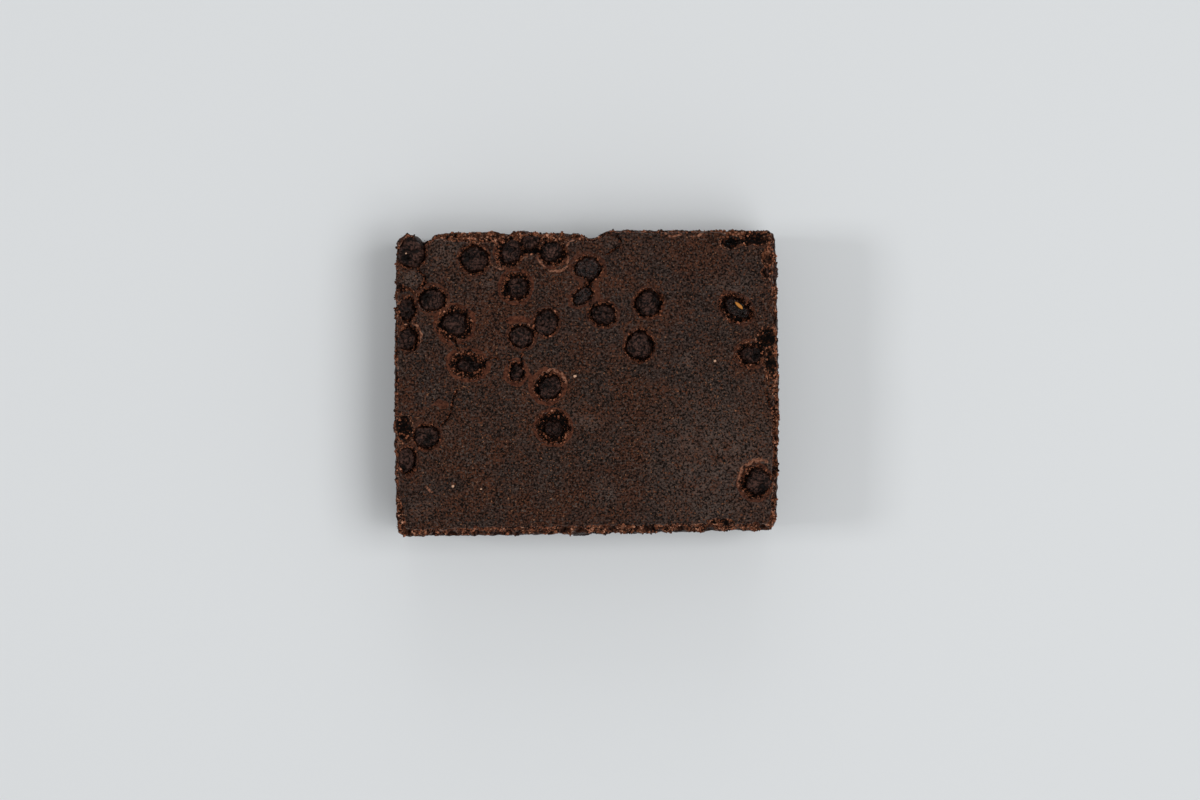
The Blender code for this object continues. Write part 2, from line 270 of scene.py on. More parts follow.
# Where the crust is broken back further from the wall: centre, radii, and how much further.
BROKEN_BACK = (
    ((-16.0, 31.5), (15.0, 6.0), 1.7),
    ((37.0, 31.5), (6.0, 6.0), 1.3),
    ((40.0, 0.0), (3.0, 26.0), 0.75),
    ((0.0, -32.0), (60.0, 7.0), 1.15),
    ((-40.0, -30.0), (4.0, 7.0), 0.8),
    ((-40.0, 0.0), (3.0, 20.0), 0.3),
)


def drop_form(node):
    """Centre, half length, half width and turn in plan of a drop, from the frame's own solid."""
    corners = np.array([v.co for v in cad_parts[node].data.vertices]) * 1000
    plan = np.unique(np.round(corners[:, :2], 3), axis=0)
    low, high = (np.array(corner) * 1000 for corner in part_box(node))
    spread = np.cov((plan - plan.mean(axis=0)).T)
    _, axes = np.linalg.eigh(spread)
    along = axes[:, 1]
    turn = math.atan2(along[1], along[0])
    across = np.array((-along[1], along[0]))
    half = [np.ptp(plan @ axis) / 2 for axis in (along, across)]
    centre = (low[:2] + high[:2]) / 2
    return centre, half[0], half[1], turn


def oval_distance(centre, radii, turn=0.0):
    """How far each place in plan lies outside an oval, near its edge."""
    x, y = X - centre[0], Y - centre[1]
    along = x * math.cos(turn) + y * math.sin(turn)
    across = -x * math.sin(turn) + y * math.cos(turn)
    out = np.hypot(along / radii[0], across / radii[1])
    return (out - 1) * math.sqrt(radii[0] * radii[1])


def line_distance(points):
    nearest = np.full(X.shape, np.inf)
    for (ax, ay), (bx, by) in zip(points, points[1:]):
        run = np.array((bx - ax, by - ay))
        share = np.clip(((X - ax) * run[0] + (Y - ay) * run[1]) / (run @ run), 0, 1)
        nearest = np.minimum(nearest, np.hypot(X - ax - share * run[0], Y - ay - share * run[1]))
    return nearest


def soft_oval(centre, radii):
    """A soft patch: 1 in the middle of an oval, falling away past its edge."""
    out = ((X - centre[0]) / radii[0]) ** 2 + ((Y - centre[1]) / radii[1]) ** 2
    return np.exp(-(out**1.5))


ragged = RAGGED * (0.8 * plan_lumps(1.7, 3) + 0.8 * plan_lumps(0.85, 4) + 0.8 * plan_lumps(0.5, 5))
band_edge = 1 + 0.45 * plan_lumps(2.2, 6) + 0.25 * plan_lumps(0.8, 7)
outside_pits = np.full(X.shape, 9.0)
pit_depth = np.zeros(X.shape)
ring_edge = np.full(X.shape, -9.0)
in_crack = np.full(X.shape, -9.0)
hollow = np.full(X.shape, -9.0)
browned = np.zeros(X.shape)
for node, pit in PITS.items():
    centre, half_length, half_width, turn = drop_form(node)
    radii = (half_length + pit.gap, half_width + pit.gap)
    from_oval = oval_distance(centre + pit.shift, radii, turn)
    away = from_oval + ragged * min(1.0, 0.35 + pit.gap)
    outside_pits = np.minimum(outside_pits, away)
    pit_depth = np.maximum(pit_depth, pit.depth * smooth_step(0, PIT_WALL, -away))
    ring = pit.band * band_edge - from_oval
    browned = np.where(ring > ring_edge, pit.browned, browned)
    ring_edge = np.maximum(ring_edge, ring)
for centre, radii, depth in HOLES:
    away = oval_distance(centre, radii) + 1.6 * ragged
    outside_pits = np.minimum(outside_pits, away)
    pit_depth = np.maximum(pit_depth, depth * smooth_step(0, PIT_WALL, -away))
for centre, radii in CRUMBLED:
    spread = math.sqrt(max(0.1, 1 - (centre[2] / radii[2]) ** 2))
    away = oval_distance(centre, [spread * r for r in radii[:2]]) + ragged
    hollow = np.maximum(hollow, -away)
    outside_pits = np.minimum(outside_pits, away)
for points, width in CRACKS:
    away = line_distance(points) - width / 2 - 0.06 + 0.25 * ragged
    in_crack = np.maximum(in_crack, -away)
    outside_pits = np.minimum(outside_pits, np.where(away < 0, 2.5 * away, away))
    pit_depth = np.maximum(pit_depth, 1.3 * smooth_step(0, width / 3, -away))
for centre, radii, strength in BROWNED:
    ring = -oval_distance(centre, radii) - ragged
    browned = np.where(ring > ring_edge, strength, browned)
    ring_edge = np.maximum(ring_edge, ring)
pale = np.full(X.shape, -1.0)
raised = np.zeros(X.shape)
for points, width, rise in RAISED_EDGES:
    away = line_distance(points) + 0.5 * ragged
    pale = np.maximum(pale, width / 2 - away)
    raised = np.maximum(raised, rise * np.exp(-((away / width) ** 2)))
# Painted sheen: how strongly grey is painted into the crust's colour in place of its shine.
bloom = np.zeros(X.shape)
for centre, radii, strength in PAINTED_SHEEN:
    bloom = np.maximum(bloom, strength * soft_oval(centre, radii))

broken_back = 0.35 + 0.32 * plan_lumps(3.2, 8) + 0.22 * plan_lumps(1.2, 9)
for centre, radii, extra in BROKEN_BACK:
    broken_back += extra * soft_oval(centre, radii)
inside_break = wall - np.maximum(broken_back, 0.1)
skin = np.minimum(outside_pits, inside_break)

# ---- The cake: its surface ------------------------------------------------------------------------
# One skin of crust over torn crumb. The crumb has pores where bubbles baked, and nubs where the knife
# dragged. Its surface is drawn from a block of sampled distances, the top finer than the walls.

CRUST = 0.5
LIP_RISE, LIP_WIDTH = 0.16, 1.3
LIP_FALL, LIP_FALL_WIDTH = 0.34, 0.4
WRINKLE = 0.08
CRUMB_DROP = 0.55
CREVICE = 1.4
# Where the torn crumb stands out past the cut: centre, radii, and how far.
SCALLOPS = (
    ((-17.0, 31.0), (17.0, 5.0), 0.55),
    ((39.0, -8.0), (4.0, 22.0), 0.15),
    ((10.0, -32.0), (34.0, 5.0), 0.25),
)
SHOULDER, SHOULDER_WIDTH = 0.9, 1.7
CRUMB_ROUGH = ((2.6, 0.22), (1.3, 0.26), (0.7, 0.22))
TOP_VOXEL, WALL_VOXEL = 0.305, 0.37
SEAM = HEIGHT - 4.2
PORES, NUBS = 900, 500

lip = LIP_RISE * np.exp(-((np.maximum(outside_pits, 0) / LIP_WIDTH) ** 2))
fall = LIP_FALL * np.exp(-np.maximum(skin, 0) / LIP_FALL_WIDTH)
wrinkled = WRINKLE * (plan_lumps(2.4, 20) + 0.8 * plan_lumps(1.1, 21) + 0.6 * plan_lumps(0.6, 22))
smooth_ring = browned * smooth_step(-0.2, 0.2, ring_edge)
crust_top = top + lip - fall + raised + wrinkled * (1 - 0.6 * smooth_ring)
shoulder = SHOULDER * (1 - smooth_step(0, SHOULDER_WIDTH, wall))
bare = smooth_step(0.05, -0.25, skin)
crevices = smooth_step(0.05, 0.3, plan_lumps(1.5, 12)) + 0.7 * smooth_step(0.05, 0.3, plan_lumps(0.8, 13))
crumb_top = crust_top - 0.3 - (CRUMB_DROP - 0.3) * bare - shoulder * bare - pit_depth
crumb_top -= CREVICE * bare * crevices * smooth_step(0.1, 0.6, outside_pits)
crumbly = plan_lumps(2.0, 16)
crumb_wall = wall.copy()
for centre, radii, bulge in SCALLOPS:
    crumb_wall += bulge * soft_oval(centre, radii) * (1 + 1.1 * plan_lumps(3.4, 14) + 0.7 * plan_lumps(1.6, 15))


def map_at(values, x, y):
    """Reads a map of the plan between its samples."""
    i = np.clip((x - map_x[0]) / MAP_STEP, 0, len(map_x) - 1.001)
    j = np.clip((y - map_y[0]) / MAP_STEP, 0, len(map_y) - 1.001)
    i0, j0 = i.astype(int), j.astype(int)
    i, j = i - i0, j - j0
    near = values[i0, j0] * (1 - j) + values[i0, j0 + 1] * j
    far = values[i0 + 1, j0] * (1 - j) + values[i0 + 1, j0 + 1] * j
    return near * (1 - i) + far * i


def wall_at(x, y):
    return float(map_at(wall, np.array((x,)), np.array((y,)))[0])


wall_spots = []
for _ in range(PORES + NUBS):
    side = random.uniform(0, 2 * (WIDTH + DEPTH))
    if side < 2 * WIDTH:
        x, y = side % WIDTH - WIDTH / 2, math.copysign(DEPTH / 2 - 1, side - WIDTH)
        y += math.copysign(wall_at(x, y), y)
    else:
        x, y = math.copysign(WIDTH / 2 - 1, side - 2 * WIDTH - DEPTH), side % DEPTH - DEPTH / 2
        x += math.copysign(wall_at(x, y), x)
    wall_spots.append((x, y, random.uniform(0.4, HEIGHT - 0.8)))
pore_radii = 0.28 * random.lognormal(0.2, 0.65, PORES).clip(0.7, 5.0)
nub_radii = random.uniform(0.25, 0.6, NUBS)


def cake_distances(low, high, voxel):
    """How far each sample of a block lies inside the cake, and the block's three axes."""
    xs, ys, zs = (np.arange(a, b, voxel) for a, b in zip(low, high))
    gx, gy = (g.ravel() for g in np.meshgrid(xs, ys, indexing="ij"))
    shape = (len(xs), len(ys), len(zs))
    wall_2d, crumb_2d, crust_2d, skin_2d = (
        map_at(values, gx, gy).astype(np.float32)[:, None] for values in (crumb_wall, crumb_top, crust_top, skin)
    )
    z = zs.astype(np.float32)[None, :]
    belly = WALL_BELLY * np.sin(np.pi * np.clip(z / HEIGHT, 0, 1))
    crumb = np.minimum(np.minimum(crumb_2d - z, wall_2d + belly), z + 0.6)
    crust = np.minimum(np.minimum(crust_2d - z, z - (crust_2d - CRUST)), skin_2d)
    near = np.abs(crumb) < 1.1
    row, column = np.nonzero(near)
    points = np.stack([gx[row], gy[row], zs[column]], axis=1)
    stretched = points * np.array((1, 1, 0.6))
    rough = sum(amount * lumps(stretched, size, 30 + size) for size, amount in CRUMB_ROUGH)
    crumb[near] += rough
    inside = np.maximum(crumb, crust).reshape(shape)
    carve_spots(inside, xs, ys, zs, voxel)
    carve_hollows(inside, xs, ys, zs)
    return np.minimum(inside, zs.astype(np.float32)[None, None, :]), (xs, ys, zs)


def carve_hollows(inside, xs, ys, zs):
    """Takes away what has crumbled off the top."""
    for centre, radii in CRUMBLED:
        centre = np.array(centre) + (0, 0, HEIGHT)
        window = []
        for axis, at, radius in zip((xs, ys, zs), centre, radii):
            window.append(slice(*np.searchsorted(axis, (at - radius - 1, at + radius + 1))))
        part = inside[tuple(window)]
        if part.size == 0:
            continue
        bx, by, bz = np.meshgrid(xs[window[0]], ys[window[1]], zs[window[2]], indexing="ij")
        points = np.stack([bx.ravel(), by.ravel(), bz.ravel()], axis=1)
        out = np.linalg.norm((points - centre) / radii, axis=1)
        away = (out - 1) * min(radii[:2]) + 0.4 * lumps(points, 1.3, 40) + 0.45 * lumps(points, 0.75, 41)
        part[...] = np.minimum(part, away.reshape(part.shape))


def carve_spots(inside, xs, ys, zs, voxel):
    """Takes pores out of the walls, and adds nubs of crumb to them."""
    radii = np.concatenate([pore_radii, nub_radii])
    for number, ((x, y, z), radius) in enumerate(zip(wall_spots, radii)):
        pore = number < PORES
        centre = np.array((x, y, z))
        reach = radius + 1.0
        window = []
        for axis, at in zip((xs, ys, zs), centre):
            window.append(slice(*np.searchsorted(axis, (at - reach, at + reach))))
        part = inside[tuple(window)]
        if part.size == 0:
            continue
        bx, by, bz = np.meshgrid(xs[window[0]], ys[window[1]], zs[window[2]], indexing="ij")
        ball = radius - np.sqrt((bx - centre[0]) ** 2 + (by - centre[1]) ** 2 + 1.4 * (bz - centre[2]) ** 2)
        if pore:
            part[...] = np.minimum(part, -ball)
        else:
            ball -= 0.5 * radius
            blend = np.clip(0.5 + (ball - part) / 0.5, 0, 1)
            part[...] = part * (1 - blend) + ball * blend + 0.25 * blend * (1 - blend)


def loose_share(x, y, below):
    """How thickly loose crumbs lie, and how many of them are light bits of crust, as on torn edges."""
    away, torn, patchy = (map_at(values, x, y) for values in (outside_pits, skin, crumbly))
    rim = smooth_step(0.3, 0.0, np.abs(torn)) * smooth_step(1.0, 0.6, below)
    rim *= smooth_step(-0.25, 0.55, patchy) * smooth_step(-0.1, -0.5, map_at(in_crack, x, y))
    in_gap = smooth_step(0.1, -0.1, away) * smooth_step(-1.8, -1.4, away) * smooth_step(3.2, 2.0, below)
    at_edge = smooth_step(0.1, -0.2, torn) * smooth_step(2.6, 1.2, below - 1.4 * patchy) * smooth_step(-0.3, 0.2, away)
    at_edge *= 0.6 + 0.4 * smooth_step(-0.4, 0.3, patchy)
    light = np.maximum(np.maximum(0.9 * rim, 0.95 * at_edge), 0.75 * in_gap)
    in_hollow = smooth_step(0.0, 0.4, map_at(hollow, x, y))
    return np.clip((0.6 * in_gap + 0.7 * at_edge) * (1 - 0.75 * in_hollow) + 0.6 * rim + 0.003, 0, 1), light


def cake_piece(name, low, high, voxel, floor, ceiling):
    """A closed piece of the cake's surface between two heights, with what its material reads."""
    inside, (xs, ys, zs) = cake_distances(low, high, voxel)
    height = zs.astype(np.float32)[None, None, :]
    if floor is not None:
        inside = np.minimum(inside, height - floor)
    if ceiling is not None:
        inside = np.minimum(inside, ceiling - height)
    grid = openvdb.FloatGrid(3.0)
    grid.copyFromArray(np.clip(-inside, -3, 3))
    points, triangles, quads = grid.convertToPolygons(isovalue=0.0, adaptivity=0.02)
    points = points * voxel + np.array((xs[0], ys[0], zs[0]))
    mesh = bpy.data.meshes.new(name)
    faces = [tuple(f) for f in triangles[:, ::-1].tolist()] + [tuple(f) for f in quads[:, ::-1].tolist()]
    mesh.from_pydata((points * MM).tolist(), [], faces)
    mesh.shade_smooth()
    x, y, z = points.T
    below = map_at(crust_top, x, y) - z
    loose, light = loose_share(x, y, below)
    values = {
        "crust": np.minimum(np.clip(map_at(skin, x, y), -1, 1), 0.42 - below),
        "ring": np.clip(map_at(ring_edge, x, y), -1, 1),
        "browned": map_at(browned, x, y),
        "bloom": map_at(bloom, x, y),
        # Painted shade: depth darkens the crumb deep in pits and cracks.
        "depth": np.maximum(
            smooth_step(0.45, 1.3, below)
            * smooth_step(6.0, 4.0, below)
            * smooth_step(-0.05, -0.35, map_at(outside_pits, x, y)),
            smooth_step(-0.12, 0.0, map_at(in_crack, x, y)) * smooth_step(5.0, 3.8, below),
        ),
        "cut": smooth_step(1.2, 3.5, below - 1.2 * map_at(crumbly, x, y)) * smooth_step(1.6, 0.8, map_at(wall, x, y)),
        "pale": np.clip(map_at(pale, x, y), -1, 1),
        "loose": loose,
        "light": light,
    }
    for key, value in values.items():
        layer = mesh.attributes.new(key, "FLOAT", "POINT")
        layer.data.foreach_set("value", value.astype(np.float32))
    piece = bpy.data.objects.new(name, mesh)
    bpy.context.scene.collection.objects.link(piece)
    return piece


plan_low = (-WIDTH / 2 - 1.6, -DEPTH / 2 - 1.9)
plan_high = (WIDTH / 2 + 1.6, DEPTH / 2 + 1.9)
brownie_top = cake_piece("brownie_top", (*plan_low, SEAM - 0.6), (*plan_high, HEIGHT + 1.5), TOP_VOXEL, SEAM, None)
brownie_walls = cake_piece("brownie_walls", (*plan_low, -0.8), (*plan_high, SEAM + 1.5), WALL_VOXEL, None, SEAM + 0.5)


def linear(colour):
    """A colour given as sRGB hex, in linear light."""
    shares = [int(colour[i : i + 2], 16) / 255 for i in (1, 3, 5)]
    return [s / 12.92 if s <= 0.04045 else ((s + 0.055) / 1.055) ** 2.4 for s in shares] + [1.0]


def add_node(tree, kind, settings=None, links=None):
    """Adds a node with its settings, and joins named or numbered inputs to other nodes' outputs."""
    made = tree.nodes.new(kind)
    for key, value in (settings or {}).items():
        if isinstance(key, int) or key in made.inputs:
            made.inputs[key].default_value = value
        else:
            setattr(made, key, value)
    for key, source in (links or {}).items():
        tree.links.new(source, made.inputs[key])
    return made


def new_material(name):
    """An empty material with its shader, and the place on the piece in metres."""
    material = bpy.data.materials.new(name)
    material.use_nodes = True
    tree = material.node_tree
    shader = tree.nodes["Principled BSDF"]
    place = add_node(tree, "ShaderNodeTexCoord").outputs["Object"]
    return material, tree, shader, place


def mixed(tree, share, first, second, blend="MIX"):
    """Mixes two colours, each a hex colour or another node's output, by a share."""
    node = add_node(tree, "ShaderNodeMix", {"data_type": "RGBA", "blend_type": blend})
    for key, value in ((0, share), (6, first), (7, second)):
        if isinstance(value, str):
            node.inputs[key].default_value = linear(value)
        elif isinstance(value, (int, float)):
            node.inputs[key].default_value = value
        else:
            tree.links.new(value, node.inputs[key])
    return node.outputs[2]


def cake_material():
    """Baked brownie: a dull, mottled, sugary crust with patches of painted sheen, and a darker, moister crumb where it
    is torn, with painted shade deep in its pits and cracks.
    """
    material, tree, shader, place = new_material("baked_brownie")

    def speckle(size, detail, low, high, seed=0.0):
        shifted = add_node(tree, "ShaderNodeMapping", {"Location": (seed, seed, seed)}, {"Vector": place})
        grain = add_node(
            tree,
            "ShaderNodeTexNoise",
            {"Scale": 1 / (size * MM), "Detail": detail, "Roughness": 0.6},
            {"Vector": shifted.outputs["Vector"]},
        )
        ramp = add_node(
            tree,
            "ShaderNodeMapRange",
            {"From Min": low, "From Max": high},
            {"Value": grain.outputs["Fac"]},
        )
        return ramp.outputs["Result"]

    def attribute(key):
        return add_node(tree, "ShaderNodeAttribute", {"attribute_name": key}).outputs["Fac"]

    def edge(key, wander, width):
        """1 past an edge that a measured distance draws, with the edge wandering a little."""
        shake = speckle(0.5, 2, 0.0, 1.0, 0.6)
        moved = add_node(
            tree, "ShaderNodeMath", {"operation": "MULTIPLY_ADD", 1: wander}, {0: shake, 2: attribute(key)}
        )
        share = add_node(
            tree,
            "ShaderNodeMapRange",
            {"From Min": wander / 2, "From Max": wander / 2 + width},
            {"Value": moved.outputs[0]},
        )
        return share.outputs["Result"]

    tint = mixed(tree, speckle(6.0, 5, 0.40, 0.60, 0.8), "#3a2d28", "#4a2c1f")
    # Painted sheen: grey is painted into the crust where it would shine.
    sheen_share = add_node(
        tree, "ShaderNodeMath", {"operation": "MULTIPLY"}, {0: attribute("bloom"), 1: speckle(2.5, 4, 0.3, 0.6, 0.5)}
    )
    sheened = mixed(tree, sheen_share.outputs[0], tint, "#5c4d46")
    fine = mixed(tree, speckle(0.40, 2, 0.42, 0.61), "#080301", sheened)
    orange = mixed(tree, speckle(0.55, 2, 0.58, 0.69, 0.1), fine, "#573220")
    grey = mixed(tree, speckle(0.50, 2, 0.56, 0.66, 0.2), orange, "#4b3f39")
    crust = mixed(tree, speckle(0.50, 1, 0.67, 0.78, 0.4), grey, "#83593f")
    brown = mixed(tree, speckle(0.6, 2, 0.35, 0.65, 0.7), "#34170e", "#603827")
    ring = add_node(
        tree, "ShaderNodeMath", {"operation": "MULTIPLY"}, {0: edge("ring", 0.18, 0.08), 1: attribute("browned")}
    )
    browner = mixed(tree, ring.outputs[0], crust, brown)
    sugary = mixed(tree, speckle(0.45, 2, 0.38, 0.62, 1.3), "#5a3424", "#8f644f")
    skin_colour = mixed(tree, edge("pale", 0.25, 0.1), browner, sugary)

    moist = mixed(tree, speckle(0.6, 3, 0.42, 0.60, 0.9), "#0c0402", "#824f36")
    crumb = mixed(tree, speckle(0.5, 1, 0.57, 0.66, 1.1), moist, "#bb866a")
    dense = mixed(tree, speckle(2.2, 4, 0.38, 0.62, 1.5), "#1a0c07", "#4a2a1c")
    flecked = mixed(tree, speckle(0.7, 2, 0.60, 0.72, 1.7), dense, "#6d432e")
    sliced = mixed(tree, speckle(0.45, 2, 0.60, 0.40, 1.9), flecked, "#1d0e08")
    torn = mixed(tree, attribute("cut"), crumb, sliced)
    # Painted shade: crumb deep in pits and cracks is mixed towards near black.
    shaded = mixed(tree, speckle(0.7, 3, 0.55, 0.70, 2.1), "#050201", "#4a2817")
    deep = mixed(tree, attribute("depth"), torn, shaded)
    colour = mixed(tree, edge("crust", 0.2, 0.06), deep, skin_colour)
    tree.links.new(colour, shader.inputs["Base Color"])

    rough = add_node(
        tree,
        "ShaderNodeMapRange",
        {"From Min": 0.3, "From Max": 0.7, "To Min": 0.55, "To Max": 0.9},
        {"Value": speckle(0.5, 2, 0.0, 1.0, 0.15)},
    )
    tree.links.new(rough.outputs["Result"], shader.inputs["Roughness"])
    shader.inputs["Specular IOR Level"].default_value = 0.07
    shader.inputs["Sheen Weight"].default_value = 0.12
    shader.inputs["Sheen Roughness"].default_value = 0.35
    fine = add_node(
        tree,
        "ShaderNodeBump",
        {"Strength": 1.0, "Distance": 0.0002},
        {"Height": speckle(0.42, 3, 0.0, 1.0, 0.2)},
    )
    tree.links.new(fine.outputs["Normal"], shader.inputs["Normal"])
    return material


baked_brownie = cake_material()
for piece in (brownie_top, brownie_walls):
    piece.data.materials.append(baked_brownie)
    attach(piece, "root")
    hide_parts("brownie")

# ---- The chocolate drops --------------------------------------------------------------------------
# Baking drops keep their shape in the oven but soften, so they end up lumpy, dull and a little grey.
# Each takes its place, size and turn from the frame's solid, and is finished with its own relief.

DROP_LEVELS = 3
DROP_GROWTH = 0.05
# How far the shoulders of a drop fill out as its top slumps flat, as a share of their height.
DROP_SLUMP = 0.35
# A few drops fill out further than their plain solids: how far each moves, and how much it grows.
FILLED_OUT = {
    "chip_07": ((-0.2, -0.1, -0.3), 1.18),
    "chip_front": ((0.0, -0.9, 0.0), 1.0),
    "chip_25": ((0.3, 0.3, 0.0), 1.08),
    "chip_back": ((0.0, 0.2, 0.9), 1.1),
    "chip_right": ((0.9, -0.3, 1.0), 0.9),
}
DROP_RELIEF = ((3.6, 0.35), (2.2, 0.34), (1.0, 0.22), (0.5, 0.16))
DROP_CREASES = ((1.8, 0.30), (0.9, 0.18))
CREASE_WIDTH = 0.11
GLOSSY = ("chip_05", "chip_07", "chip_14")
GREY = ("chip_back", "chip_right")
# How light a drop is painted: lightest on those level with the crust, darkest, as painted shade, on those deep in
# their pits.
UNSHADED_DEPTH, FULL_SHADE_DEPTH = 0.1, 1.3


def drop_piece(node, number):
    """A drop with baked relief, grown from the frame's plain solid."""
    bm = bmesh.new()
    bm.from_mesh(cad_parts[node].data)
    bmesh.ops.remove_doubles(bm, verts=bm.verts, dist=0.01 * MM)
    bmesh.ops.recalc_face_normals(bm, faces=bm.faces)
    rough_cage = bpy.data.meshes.new(node)
    bm.to_mesh(rough_cage)
    bm.free()
    cage = bpy.data.objects.new(node, rough_cage)
    bpy.context.scene.collection.objects.link(cage)
    smooth = cage.modifiers.new("smooth", "SUBSURF")
    smooth.levels = smooth.render_levels = DROP_LEVELS
    mesh = bpy.data.meshes.new_from_object(cage.evaluated_get(bpy.context.evaluated_depsgraph_get()))
    bpy.data.objects.remove(cage)
    mesh.name = "drop_" + node
    points = np.empty(len(mesh.vertices) * 3)
    mesh.vertices.foreach_get("co", points)
    points = points.reshape(-1, 3) / MM
    normals = np.array([v.vector for v in mesh.vertex_normals])
    middle = (points.max(axis=0) + points.min(axis=0)) / 2
    out = (points - middle) / (np.ptp(points, axis=0) / 2)
    from_axis = np.clip(np.hypot(out[:, 0], out[:, 1]), 0, 1)
    upper = points[:, 2] > middle[2]
    points[upper, 2] += (DROP_SLUMP * from_axis**2 * (points[:, 2] - middle[2]))[upper]
    moved, grown = FILLED_OUT.get(node, ((0, 0, 0), 1.0))
    points = middle + (points - middle) * grown + moved
    relief = DROP_GROWTH + sum(amount * lumps(points, size, 60 + number) for size, amount in DROP_RELIEF)
    hollows = -relief / 0.3
    crease = np.zeros(len(points))
    for size, amount in DROP_CREASES:
        valley = smooth_step(CREASE_WIDTH, 0.0, np.abs(lumps(points, size, 90 + number)))
        relief -= amount * valley
        crease += amount / DROP_CREASES[0][1] * valley
    points += normals * relief[:, None]
    mesh.vertices.foreach_set("co", (points * MM).ravel())
    # Painted shade: the creases and low hollows of the relief are painted near black.
    crease = np.clip(crease + smooth_step(-0.2, 1.2, hollows), 0, 1)
    mesh.attributes.new("crease", "FLOAT", "POINT").data.foreach_set("value", crease)
    # Painted shade: a drop is painted darker the deeper it sits in its pit.
    below = HEIGHT - points[:, 2]
    lightness = smooth_step(FULL_SHADE_DEPTH, UNSHADED_DEPTH, below)
    if node in GREY:
        lightness[:] = 1.6
    if node in GLOSSY:
        lightness[:] = 0.1
    mesh.attributes.new("bloom", "FLOAT", "POINT").data.foreach_set("value", lightness.astype(np.float32))
    mesh.shade_smooth()
    piece = bpy.data.objects.new("drop_" + node, mesh)
    bpy.context.scene.collection.objects.link(piece)
    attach(piece, "root")
    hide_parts(node)
    return piece


def chocolate_material(name, roughness, specular):
    """Dark chocolate, melted and set again: brown-black with a faint purple-grey bloom of fat, painted lightest on
    drops level with the crust; drops deep in their pits and the creases get painted shade.
    """
    material, tree, shader, place = new_material(name)
    grain = add_node(
        tree, "ShaderNodeTexNoise", {"Scale": 1 / (0.55 * MM), "Detail": 3, "Roughness": 0.7}, {"Vector": place}
    )
    share = add_node(
        tree, "ShaderNodeMapRange", {"From Min": 0.42, "From Max": 0.60}, {"Value": grain.outputs["Fac"]}
    )
    crease = add_node(tree, "ShaderNodeAttribute", {"attribute_name": "crease"}).outputs["Fac"]
    bloom = add_node(tree, "ShaderNodeAttribute", {"attribute_name": "bloom"}).outputs["Fac"]
    # Painted shade and light: the surface tone follows how deep the drop sits, darker deep in its pit.
    surface = mixed(tree, bloom, "#38231d", "#51372f")
    melted = mixed(tree, share.outputs["Result"], "#080302", surface)
    # Painted shade in the creases and hollows.
    colour = mixed(tree, crease, melted, "#080302")
    tree.links.new(colour, shader.inputs["Base Color"])
    fine = add_node(
        tree, "ShaderNodeBump", {"Strength": 1.0, "Distance": 0.0003}, {"Height": grain.outputs["Fac"]}
    )
    tree.links.new(fine.outputs["Normal"], shader.inputs["Normal"])
    shader.inputs["Roughness"].default_value = roughness
    shader.inputs["Specular IOR Level"].default_value = specular
    return material


dull_chocolate = chocolate_material("dull_dark_chocolate", 0.42, 0.1)
glossy_chocolate = chocolate_material("glossy_dark_chocolate", 0.28, 0.2)
chips = sorted(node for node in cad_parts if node.startswith("chip_"))
for number, node in enumerate(chips):
    drop = drop_piece(node, number)
    drop.data.materials.clear()
    drop.data.materials.append(glossy_chocolate if node in GLOSSY else dull_chocolate)

# ---- Loose crumbs ----------------------------------------------------------------------------------
# Bits of crust and crumb broken off by the knife and by the shrinking skin. They lie where the cake
# is torn, and stick to its moist surface.


